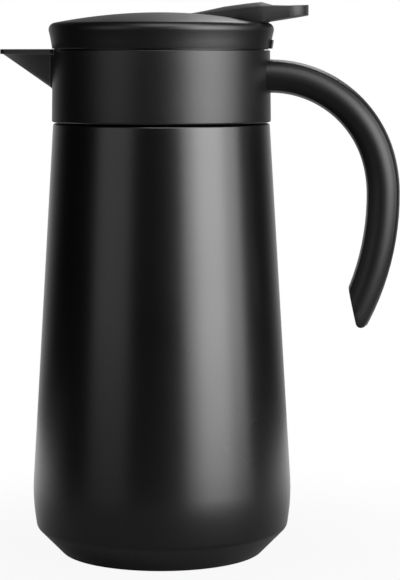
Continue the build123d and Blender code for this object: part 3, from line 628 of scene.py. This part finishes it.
class CARAFE_OT_body(bpy.types.Operator):
    """Turns the coated steel body, from the base over the side to the neck"""

    bl_idname = "carafe.body"
    bl_label = "Steel body"

    def execute(self, context):
        sizes = settings().body
        foot_lean = 1.5 * MM
        foot_round = 2.5 * MM
        foot_edge_round = 1.25 * MM
        crease_round = 4 * MM
        shoulder_round = 1 * MM
        neck_root_round = 1.5 * MM
        rim_round = 0.9 * MM
        bead = 0.9 * MM
        bead_z = 205.0 * MM
        longest_run = 12 * MM
        foot_inner = sizes.foot_radius - sizes.foot_width
        bead_radius = sizes.neck_radius + bead
        top_radius = sizes.belly_radius - (sizes.top_height - sizes.belly_height) * tan(sizes.taper)
        corners = [
            (PUMP_HOLE, sizes.base_recess, 0),
            (foot_inner - foot_lean, sizes.base_recess, foot_round),
            (foot_inner, 0, foot_edge_round),
            (sizes.foot_radius, 0, foot_round),
            (sizes.crease_radius, sizes.crease_height, crease_round),
            (sizes.belly_radius, sizes.belly_height, sizes.belly_round),
            (top_radius, sizes.top_height, shoulder_round),
            (sizes.neck_radius, sizes.top_height, neck_root_round),
            (sizes.neck_radius, bead_z - 2 * bead, 0),
            (bead_radius, bead_z - bead / 2, 0),
            (bead_radius, bead_z + bead / 2, 0),
            (sizes.neck_radius, bead_z + 2 * bead, 0),
            (sizes.neck_radius, RIM_Z, rim_round),
            (sizes.bore_radius + sizes.wall, RIM_Z, 0),
        ]
        body = turned("steel_body", divided(rounded(corners), longest_run), caps=False)
        select_only(body)
        bpy.ops.object.modifier_add(type="SOLIDIFY")
        modifier = body.modifiers[-1]
        modifier.thickness = sizes.wall
        modifier.offset = -1
        bpy.ops.object.modifier_apply(modifier=modifier.name)
        finish(body, powder_coat(), "root", "body_coat", ["outer_shell", "outer_base"])
        return {"FINISHED"}


class CARAFE_OT_collar(bpy.types.Operator):
    """Turns the collar and cuts the spout's channel through its wall"""

    bl_idname = "carafe.collar"
    bl_label = "Collar"

    def execute(self, context):
        sizes = settings().collar
        steel = settings().body
        sleeve_gap = 0.3 * MM
        sleeve_wall = 2.3 * MM
        shoulder_gap = 1.5 * MM
        bottom_round = 0.8 * MM
        top_round = 0.4 * MM
        inner_round = 0.3 * MM
        longest_run = 8 * MM
        channel_start = 44.5 * MM
        channel_end = 52.5 * MM
        inner = sizes.top_radius - sizes.wall
        sleeve = steel.neck_radius + sleeve_gap
        sleeve_z = steel.top_height + shoulder_gap
        deck_z = sizes.deck_height - sizes.deck_thickness
        corners = [
            (inner, sizes.deck_height, 0),
            (sizes.deck_bore, sizes.deck_height, 0),
            (sizes.deck_bore, deck_z, 0),
            (sleeve, deck_z, 0),
            (sleeve, sleeve_z, 0),
            (sleeve + sleeve_wall, sleeve_z, 0),
            (sleeve + sleeve_wall, deck_z, 0),
            (inner, deck_z, 0),
            (sizes.bottom_radius - sizes.wall, COLLAR_BOTTOM_Z, 0),
            (sizes.bottom_radius, COLLAR_BOTTOM_Z, bottom_round),
            (sizes.top_radius, sizes.top_height, top_round),
            (inner, sizes.top_height, inner_round),
            (inner, sizes.deck_height, 0),
        ]
        collar = turned("collar_wall", divided(rounded(corners), longest_run), caps=False)
        channel = skinned("channel_cut", [channel_section(x) for x in (channel_start, channel_end)])
        combine(collar, channel, "DIFFERENCE")
        finish(collar, grained_plastic(), "root", "collar_plastic", ["collar"])
        return {"FINISHED"}


def spout_depth(distance):
    """Depth of the spout under its top edge, at a distance from the axis."""
    sizes = settings().collar
    tip = SPOUT_REACH - sizes.lip
    return sizes.spout_tip_depth + (tip - distance) * tan(sizes.keel_angle)


def spout_half(distance, proud=0.0):
    """Half of the spout's width at its top edge, with the tip rounded."""
    sizes = settings().collar
    tip = SPOUT_REACH - sizes.lip
    slope = (sizes.spout_root_half - sizes.spout_tip_half) / (tip - sizes.spout_root)
    lean = atan(slope)
    straight = sizes.spout_root_half - (distance - sizes.spout_root) * slope + proud / cos(lean)
    centre_x = tip - sizes.spout_tip_round
    centre_y = (sizes.spout_root_half - (centre_x - sizes.spout_root) * slope
                - sizes.spout_tip_round / cos(lean))
    radius = sizes.spout_tip_round + proud
    if distance < centre_x + radius * sin(lean):
        return straight
    return centre_y + sqrt(max(radius ** 2 - (distance - centre_x) ** 2, 0))


def vee_corner(half, depth, keel_round):
    """Depth of the sharp corner of a V whose round keel reaches a depth."""
    share = 1 - (keel_round / half) ** 2
    rest = depth - keel_round
    return (rest + sqrt(rest ** 2 - share * (rest ** 2 - keel_round ** 2))) / share


def vee_depth(across, half, reached, keel_round):
    """Depth of a V-shaped section with a round keel, at a distance from its middle."""
    depth = vee_corner(half, reached, keel_round)
    slope = atan(half / depth)
    if across < keel_round * cos(slope):
        return depth - keel_round / sin(slope) + sqrt(keel_round ** 2 - across ** 2)
    return depth * (1 - across / half)


def channel_vee(distance):
    """Half width and depth of the channel in the spout."""
    sizes = settings().collar
    root_depth = spout_depth(sizes.spout_root)
    share = (SPOUT_REACH - distance) / (SPOUT_REACH - sizes.spout_root)
    root_half = sizes.spout_root_half - sizes.spout_wall
    tip_half = sizes.spout_tip_half - sizes.spout_wall
    tip_depth = sizes.spout_tip_depth / 2
    inner_root = root_depth - sizes.spout_wall / cos(sizes.keel_angle)
    return tip_half + (root_half - tip_half) * share, tip_depth + (inner_root - tip_depth) * share


def channel_points(distance, widest):
    """Places across the channel and their depths, from the left edge to the right."""
    half, depth = channel_vee(distance)
    half = min(half, widest)
    keel_part = 6
    keel_round = depth / keel_part
    places = []
    for step in range(-CHANNEL_STEPS, CHANNEL_STEPS + 1):
        across = half * abs(step) / CHANNEL_STEPS
        sunk = 0
        if abs(step) < CHANNEL_STEPS:
            sunk = vee_depth(across, half, depth, keel_round)
        places.append((half * step / CHANNEL_STEPS, min(sunk, SPOUT_TOP_Z - CHANNEL_FLOOR_Z)))
    return places


def channel_section(distance):
    """A closed section of the channel, open over the collar's rim."""
    over = 3 * MM
    top_z = SPOUT_TOP_Z + over
    points = channel_points(distance, widest=SPOUT_REACH)
    half = points[-1][0]
    section = [(-distance, y, SPOUT_TOP_Z - sunk) for y, sunk in points]
    return section + [(-distance, half, top_z), (-distance, -half, top_z)]


def spout_section(distance):
    """A closed section of the spout: its lip and flanks outside, its channel inside."""
    sizes = settings().collar
    root_keel_round = 3.6 * MM
    edge = 0.35 * MM
    least_flank = 1 / 4
    flank_steps = 12
    depth = spout_depth(distance)
    keel_round = root_keel_round * depth / spout_depth(sizes.spout_root)
    half = spout_half(distance)
    vee_half = sizes.spout_root_half + (sizes.spout_tip_half - sizes.spout_root_half) * (
        (distance - sizes.spout_root) / (SPOUT_REACH - sizes.lip - sizes.spout_root))
    lip_half = spout_half(distance, sizes.lip)
    flank = 0
    if depth > sizes.lip_height:
        flank = min(vee_half * (1 - sizes.lip_height / depth), half)
    flank = max(flank, lip_half * least_flank)
    right = [(lip_half - edge, 0), (lip_half - edge / 3, edge / 3), (lip_half, edge),
             (lip_half, sizes.lip_height - edge / 2), (lip_half - edge / 2, sizes.lip_height)]
    for step in range(flank_steps + 1):
        across = flank * (1 - step / flank_steps)
        sunk = vee_depth(across, vee_half, depth, keel_round)
        right.append((across, max(sunk, sizes.lip_height)))
    outer = []
    for across, sunk in right:
        clear = sqrt(distance ** 2 + across ** 2) - sizes.top_radius
        reach = min(max(sizes.flare - clear, 0), sizes.flare)
        push = sizes.flare - sqrt(sizes.flare ** 2 - reach ** 2)
        outer.append((across + push * (across > 0), sunk + push * (across < flank / 2)))
    left = [(-across, sunk) for across, sunk in reversed(outer[:-1])]
    inner = channel_points(distance, widest=lip_half - 2 * edge)
    return [(-distance, y, SPOUT_TOP_Z - sunk) for y, sunk in outer + left + inner]


class CARAFE_OT_spout(bpy.types.Operator):
    """Skins the duckbill spout, with its lip and its channel"""

    bl_idname = "carafe.spout"
    bl_label = "Spout"

    def execute(self, context):
        sizes = settings().collar
        sink = 0.3 * MM
        near_pace = 0.4 * MM
        near_steps = 13
        middle_steps = 8
        tip_steps = 10
        end_gap = MM / 20
        start = sizes.top_radius - sizes.wall - sink
        near = [start + near_pace * step for step in range(near_steps + 1)]
        tip_start = SPOUT_REACH - sizes.lip - sizes.spout_tip_round
        tip_run = SPOUT_REACH - tip_start
        stations = near + [near[-1] + (tip_start - near[-1]) * step / middle_steps
                           for step in range(1, middle_steps + 1)]
        stations += [tip_start + tip_run * sin(step * pi / (2 * tip_steps))
                     for step in range(1, tip_steps)]
        stations.append(SPOUT_REACH - end_gap)
        spout = skinned("spout", [spout_section(distance) for distance in stations])
        finish(spout, grained_plastic(), "root", "collar_plastic", ["collar"])
        return {"FINISHED"}


class CARAFE_OT_handle(bpy.types.Operator):
    """Skins the cane handle along its arcs and cuts its free end on a slant"""

    bl_idname = "carafe.handle"
    bl_label = "Handle"

    def execute(self, context):
        sizes = settings().handle
        edge_round = 0.5 * MM
        sharp_edge = radians(40)
        section = handle_section(sizes)
        sections = []
        for place, heading in handle_stations(sizes):
            up = Vector((-sin(heading), cos(heading)))
            sections.append([(place.x + up.x * high, side, place.y + up.y * high)
                             for side, high in section])
        handle = skinned("cane_handle", sections)
        combine(handle, handle_end_cutter(sizes), "DIFFERENCE")
        soften(handle, edge_round, sharp_edge)
        finish(handle, satin_plastic(), "root", "handle_plastic", ["handle"])
        return {"FINISHED"}


def handle_stations(sizes):
    """Places along the middle of the handle and their headings, from inside the collar's wall."""
    collar = settings().collar
    sink = 0.2 * MM
    root_run = 0.6 * MM
    root_steps = 2
    pace = radians(2.5)
    start = Vector((collar.top_radius - collar.wall + sink, sizes.root_height))
    straight = collar.top_radius + root_run - start.x
    heading = 0.0
    stations = []
    for step in range(root_steps + 1):
        stations.append((start + Vector((straight * step / root_steps, 0)), heading))
    for radius, turn in HANDLE_ARCS:
        place, heading = stations[-1]
        centre = place + Vector((-sin(heading), cos(heading))) * -radius
        steps = ceil(turn / pace)
        for step in range(1, steps + 1):
            angle = heading - turn * step / steps
            stations.append((centre + Vector((-sin(angle), cos(angle))) * radius, angle))
    return stations


def handle_section(sizes):
    """Section of the handle: crowned faces, round sides and rounded edges."""
    steps = 9
    bulge = 0.42 * sizes.edge_round
    # Out and down in shares of the bulge, and out in a share of the side's rise
    edge_points = ((-0.4, 0.25, 0), (0.5, 0.9, 0), (1, 2.2, 0.06))
    half_width = sizes.width / 2
    half_height = sizes.height / 2
    edge_x = sizes.edge_width / 2
    edge_z = sizes.edge_height / 2
    side_rise = half_width - edge_x
    side_radius = (edge_z ** 2 + side_rise ** 2) / (2 * side_rise)
    crown_rise = half_height - edge_z
    crown_radius = (edge_x ** 2 + crown_rise ** 2) / (2 * crown_rise)
    crown_reach = atan(edge_x / (crown_radius - crown_rise))
    side_reach = atan(edge_z / (side_radius - side_rise))
    quarter = []
    for step in range(steps):
        angle = crown_reach * step / steps
        quarter.append((crown_radius * sin(angle), half_height - crown_radius * (1 - cos(angle))))
    for out, down, along in edge_points:
        quarter.append((edge_x + side_rise * along + bulge * out, edge_z - bulge * down))
    for step in range(steps - 2, 0, -1):
        angle = side_reach * step / steps
        quarter.append((half_width - side_radius * (1 - cos(angle)), side_radius * sin(angle)))
    right = quarter + [(half_width, 0)] + [(x, -z) for x, z in reversed(quarter[1:])]
    return right + [(-x, -z) for x, z in right]


def handle_end_cutter(sizes):
    """Tool that leaves the slanted cut and the round tip at the handle's free end."""
    reach = 70 * MM
    tip_turn = radians(125)
    tip_steps = 16
    slant = sizes.cut_angle
    down = Vector((sin(slant), -cos(slant)))
    corner = Vector((sizes.cut_x, sizes.cut_height))
    cut_end = corner + down * sizes.cut_length
    centre = cut_end + Vector((-down.y, down.x)) * sizes.tip_round
    outline = [tuple(corner - down * reach)]
    for step in range(tip_steps + 1):
        outline.append(swung(centre, cut_end - centre, tip_turn * step / tip_steps))
    outline += [(sizes.cut_x + reach, sizes.cut_height - reach),
                (sizes.cut_x - reach, sizes.cut_height - reach)]
    return crosswise_prism("end_cutter", outline, sizes.width)


class CARAFE_OT_lid(bpy.types.Operator):
    """Turns the domed lid cap, adds the tab above the handle and cuts the lever's slot"""

    bl_idname = "carafe.lid"
    bl_label = "Lid cap"

    def execute(self, context):
        sizes = settings().lid
        pole = 0.4 * MM
        dome_steps = 12
        waist_round = 55 * MM
        skirt_round = 0.3 * MM
        longest_run = 4 * MM
        slot_low = 233.5 * MM
        slot_high = 252 * MM
        skirt_inner = sizes.lip_radius - sizes.lip_width
        lip_z = settings().collar.top_height + sizes.lip_gap
        corners = []
        for step in range(dome_steps):
            radius = pole + (sizes.edge_radius - pole) * step / dome_steps
            corners.append((radius, dome_height(radius), 0))
        corners += [
            (sizes.edge_radius, dome_height(sizes.edge_radius), sizes.edge_round),
            (sizes.waist_radius, sizes.waist_height, waist_round),
            (sizes.skirt_radius, SKIRT_BOTTOM_Z, skirt_round),
            (sizes.lip_radius, SKIRT_BOTTOM_Z, 0),
            (sizes.lip_radius, lip_z, 0),
            (skirt_inner, lip_z, 0),
        ]
        profile = divided(rounded(corners), longest_run)
        for step in range(dome_steps + 1):
            radius = skirt_inner + (pole - skirt_inner) * step / dome_steps
            profile.append((radius, dome_height(radius) - sizes.wall))
        cap = turned("lid_dome", profile)
        combine(cap, lid_tab(sizes), "UNION")
        outline = both_sides(lever_outline(sizes.slot_gap))
        combine(cap, upright_prism("slot_cut", outline, slot_low, slot_high), "DIFFERENCE")
        finish(cap, grained_plastic(), "lid", "lid_plastic", ["lid_cap"])
        return {"FINISHED"}


def lid_tab(sizes):
    """The small tab on the skirt, above the handle."""
    root = sizes.lip_radius - sizes.lip_width / 2
    foot = 50.5 * MM
    nose = 51.1 * MM
    top_z = 236.3 * MM
    edge = 0.3 * MM
    return crosswise_prism("tab", [
        (root, SKIRT_BOTTOM_Z), (foot, SKIRT_BOTTOM_Z), (nose, top_z - edge), (nose - edge, top_z),
        (root, top_z)], sizes.tab_width / 2)


class CARAFE_OT_lever(bpy.types.Operator):
    """Finishes the crowned thumb lever with softened edges"""

    bl_idname = "carafe.lever"
    bl_label = "Thumb lever"

    def execute(self, context):
        edge_round = 0.35 * MM
        sharp_edge = radians(38)
        sharp_shading = radians(25)
        lever = copy_of("thumb_lever")
        soften(lever, edge_round, sharp_edge, segments=2)
        finish(lever, matt_plastic(), "lever", "lid_plastic", ["thumb_lever"], sharp_shading)
        return {"FINISHED"}


class CARAFE_OT_inner_pieces(bpy.types.Operator):
    """Finishes the pieces inside: the liner, the ring, the stopper, the valve, seals and pins"""

    bl_idname = "carafe.inner_pieces"
    bl_label = "Inner pieces"

    def execute(self, context):
        looks = {
            "steel": stainless_steel(),
            "inner_plastic": stopper_plastic(),
            "silicone": silicone_rubber(),
            "getter_metal": stainless_steel(),
            "seal_disc": powder_coat(),
        }
        slots = {entry["node"]: entry["material_slot"] for entry in frame["record"]["subparts"]}
        bodies = frame["record"]["behaviour"]["bodies"]
        for body, nodes in bodies.items():
            for node in nodes:
                slot = slots[node]
                if slot in looks:
                    piece = copy_of(node)
                    finish(piece, looks[slot], body, slot, [node])
                    if node == "valve_spring":
                        compress_with_valve(piece)
        return {"FINISHED"}


def compress_with_valve(spring):
    """Gives the spring a mesh of its own."""
    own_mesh(spring)


# Stage

class CARAFE_OT_stage(bpy.types.Operator):
    """Sets up the floor, the lights, the world and the camera"""

    bl_idname = "carafe.stage"
    bl_label = "Stage"

    def execute(self, context):
        stage = settings().stage
        add_floor(stage)
        add_lamps(stage)
        set_world(stage)
        add_camera(stage)
        context.scene.view_settings.view_transform = "Standard"
        return {"FINISHED"}


def away(stage):
    """The level direction from the camera past the object."""
    return (-sin(stage.azimuth), cos(stage.azimuth), 0)


def add_floor(stage):
    """A round white floor under the carafe, not part of it."""
    floor_radius = 0.42
    floor_thickness = 0.004
    bpy.ops.object.select_all(action="DESELECT")
    bpy.ops.mesh.primitive_circle_add(vertices=stage.sides, radius=floor_radius, fill_type="NGON")
    floor = bpy.context.object
    floor.name = "floor"
    bpy.ops.object.mode_set(mode="EDIT")
    bpy.ops.mesh.select_all(action="SELECT")
    bpy.ops.mesh.extrude_region_move(TRANSFORM_OT_translate={"value": (0, 0, -floor_thickness)})
    bpy.ops.mesh.select_all(action="SELECT")
    bpy.ops.mesh.normals_make_consistent(inside=False)
    bpy.ops.object.mode_set(mode="OBJECT")
    floor.data.materials.append(white_floor(stage))


def white_floor(stage):
    """A grey floor that looks white to the camera, and to gloss where it lies behind the object."""
    floor_grey = 0.18
    shadow_start = 0.06
    shadow_end = 0.24
    shadow_white = 0.93
    mirrored_start = -0.06
    mirrored_end = 0.20
    material = bpy.data.materials.new("White floor")
    material.use_nodes = True
    tree = material.node_tree
    nodes = tree.nodes
    shader = nodes["Principled BSDF"]
    shader.inputs["Base Color"].default_value = (floor_grey, floor_grey, floor_grey, 1)
    shader.inputs["Roughness"].default_value = 0.9
    shader.inputs["Specular IOR Level"].default_value = 0.1
    glow = nodes.new("ShaderNodeEmission")
    glow.inputs["Strength"].default_value = 1.0
    rays = nodes.new("ShaderNodeLightPath").outputs
    place = nodes.new("ShaderNodeTexCoord").outputs["Object"]
    distance = calculated(tree, "ShaderNodeVectorMath", "LENGTH", place)
    # Towards the axis the floor's white falls to shadow_white: a painted shade round the base,
    # which the real shadow on the grey floor deepens
    clear = graded(tree, distance, shadow_start, shadow_end, low=shadow_white)
    seen = calculated(tree, "ShaderNodeMath", "MULTIPLY", rays["Is Camera Ray"], clear)
    ahead = calculated(tree, "ShaderNodeVectorMath", "DOT_PRODUCT", place, away(stage))
    behind = graded(tree, ahead, mirrored_start, mirrored_end)
    mirrored = calculated(tree, "ShaderNodeMath", "MULTIPLY", rays["Is Glossy Ray"], behind)
    white = calculated(tree, "ShaderNodeMath", "MAXIMUM", seen, mirrored)
    blend = nodes.new("ShaderNodeMixShader")
    feed(tree, blend.inputs["Fac"], white)
    feed(tree, blend.inputs[1], shader.outputs["BSDF"])
    feed(tree, blend.inputs[2], glow.outputs["Emission"])
    feed(tree, nodes["Material Output"].inputs["Surface"], blend.outputs["Shader"])
    return material


def add_lamp(name, azimuth, distance, height, wide, tall, power, aim_height=0.13):
    """A softbox that stands round the object and faces it."""
    bpy.ops.object.select_all(action="DESELECT")
    place = Vector((distance * sin(azimuth), -distance * cos(azimuth), height))
    facing = (Vector((0, 0, aim_height)) - place).to_track_quat("-Z", "Y").to_euler()
    bpy.ops.object.light_add(type="AREA", location=place, rotation=facing)
    lamp = bpy.context.object
    lamp.name = name
    lamp.data.shape = "RECTANGLE"
    lamp.data.size = wide
    lamp.data.size_y = tall
    lamp.data.energy = power


def add_lamps(stage):
    """A tall softbox and its core at the right, a weak one at the left, one above, one behind."""
    view = stage.azimuth
    add_lamp("softbox_right", view + radians(53), distance=1.15, height=0.46,
             wide=1.46, tall=1.06, power=14.5)
    add_lamp("softbox_right_core", view + radians(49), distance=1.10, height=0.46,
             wide=0.66, tall=1.06, power=6.0)
    add_lamp("softbox_left", view - radians(49), distance=1.35, height=0.50,
             wide=0.95, tall=1.06, power=1.9)
    add_lamp("softbox_top", view + radians(15), distance=0.62, height=1.02,
             wide=0.9, tall=0.6, power=4.6)
    add_lamp("softbox_back", view + radians(163), distance=0.85, height=0.80,
             wide=0.40, tall=0.40, power=1.9, aim_height=0.25)


def set_world(stage):
    """A white backdrop behind the object, as seen and as reflected, in a dim room."""
    room_glow = 0.01
    backdrop_edge = 0.40
    backdrop_falloff = 3.0
    level = 0.04
    raised = 0.30
    raised_glow = 0.22
    world = bpy.data.worlds.new("Studio")
    bpy.context.scene.world = world
    world.use_nodes = True
    tree = world.node_tree
    nodes = tree.nodes
    room = nodes["Background"]
    room.inputs["Color"].default_value = (1, 1, 1, 1)
    white = nodes.new("ShaderNodeBackground")
    white.inputs["Color"].default_value = (1, 1, 1, 1)
    white.inputs["Strength"].default_value = 1.0
    rays = nodes.new("ShaderNodeLightPath").outputs
    place = nodes.new("ShaderNodeTexCoord").outputs["Generated"]
    ahead = calculated(tree, "ShaderNodeVectorMath", "DOT_PRODUCT", place, away(stage))
    sideways = graded(tree, ahead, backdrop_edge, 1.0, interpolation="LINEAR")
    narrowed = calculated(tree, "ShaderNodeMath", "POWER", sideways, backdrop_falloff)
    split = nodes.new("ShaderNodeSeparateXYZ")
    feed(tree, split.inputs["Vector"], place)
    slope = calculated(tree, "ShaderNodeMath", "ABSOLUTE", split.outputs["Z"])
    upwards = graded(tree, slope, level, raised, low=1.0, high=raised_glow)
    backdrop = calculated(tree, "ShaderNodeMath", "MULTIPLY", narrowed, upwards)
    feed(tree, room.inputs["Strength"],
         calculated(tree, "ShaderNodeMath", "ADD", backdrop, room_glow))
    through = calculated(tree, "ShaderNodeMath", "MAXIMUM", rays["Is Camera Ray"],
                         rays["Is Transmission Ray"])
    blend = nodes.new("ShaderNodeMixShader")
    feed(tree, blend.inputs["Fac"], through)
    feed(tree, blend.inputs[1], room.outputs["Background"])
    feed(tree, blend.inputs[2], white.outputs["Background"])
    feed(tree, nodes["World Output"].inputs["Surface"], blend.outputs["Shader"])


def add_camera(stage):
    """The camera of the photograph: low, far away and turned a little to the handle."""
    place = Vector((stage.distance * sin(stage.azimuth), -stage.distance * cos(stage.azimuth),
                    stage.camera_height))
    heading = -stage.azimuth + stage.heading
    forward = Vector((sin(heading) * cos(stage.pitch), cos(heading) * cos(stage.pitch),
                      -sin(stage.pitch)))
    bpy.ops.object.camera_add(location=place, rotation=forward.to_track_quat("-Z", "Y").to_euler())
    camera = bpy.context.object
    camera.name = "camera"
    camera.data.lens = stage.lens
    camera.data.sensor_width = 36.0
    camera.data.clip_start = 0.05
    bpy.context.scene.camera = camera


# Sidebar and start

class CARAFE_PT_sidebar(bpy.types.Panel):
    """Lists the carafe's pieces in the sidebar"""

    bl_idname = "CARAFE_PT_sidebar"
    bl_label = "Carafe"
    bl_space_type = "VIEW_3D"
    bl_region_type = "UI"
    bl_category = "Carafe"

    def draw(self, context):
        for operator in STEPS:
            self.layout.operator(operator.bl_idname)


STEPS = (CARAFE_OT_stage, CARAFE_OT_body, CARAFE_OT_collar, CARAFE_OT_spout, CARAFE_OT_handle,
         CARAFE_OT_lid, CARAFE_OT_lever, CARAFE_OT_inner_pieces)
CLASSES = (CarafeBodySizes, CarafeCollarSizes, CarafeHandleSizes, CarafeLidSizes, CarafeFinishes,
           CarafeStage, CarafeSettings, *STEPS, CARAFE_PT_sidebar)


def register():
    """Registers the classes and the settings."""
    for cls in CLASSES:
        bpy.utils.register_class(cls)
    bpy.types.Scene.carafe = PointerProperty(type=CarafeSettings)


def unregister():
    """Takes the settings and the classes away again."""
    del bpy.types.Scene.carafe
    for cls in reversed(CLASSES):
        bpy.utils.unregister_class(cls)


def main():
    """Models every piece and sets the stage."""
    register()
    bpy.ops.carafe.stage()
    bpy.ops.carafe.body()
    bpy.ops.carafe.collar()
    bpy.ops.carafe.spout()
    bpy.ops.carafe.handle()
    bpy.ops.carafe.lid()
    bpy.ops.carafe.lever()
    bpy.ops.carafe.inner_pieces()


if __name__ == "__main__":
    main()
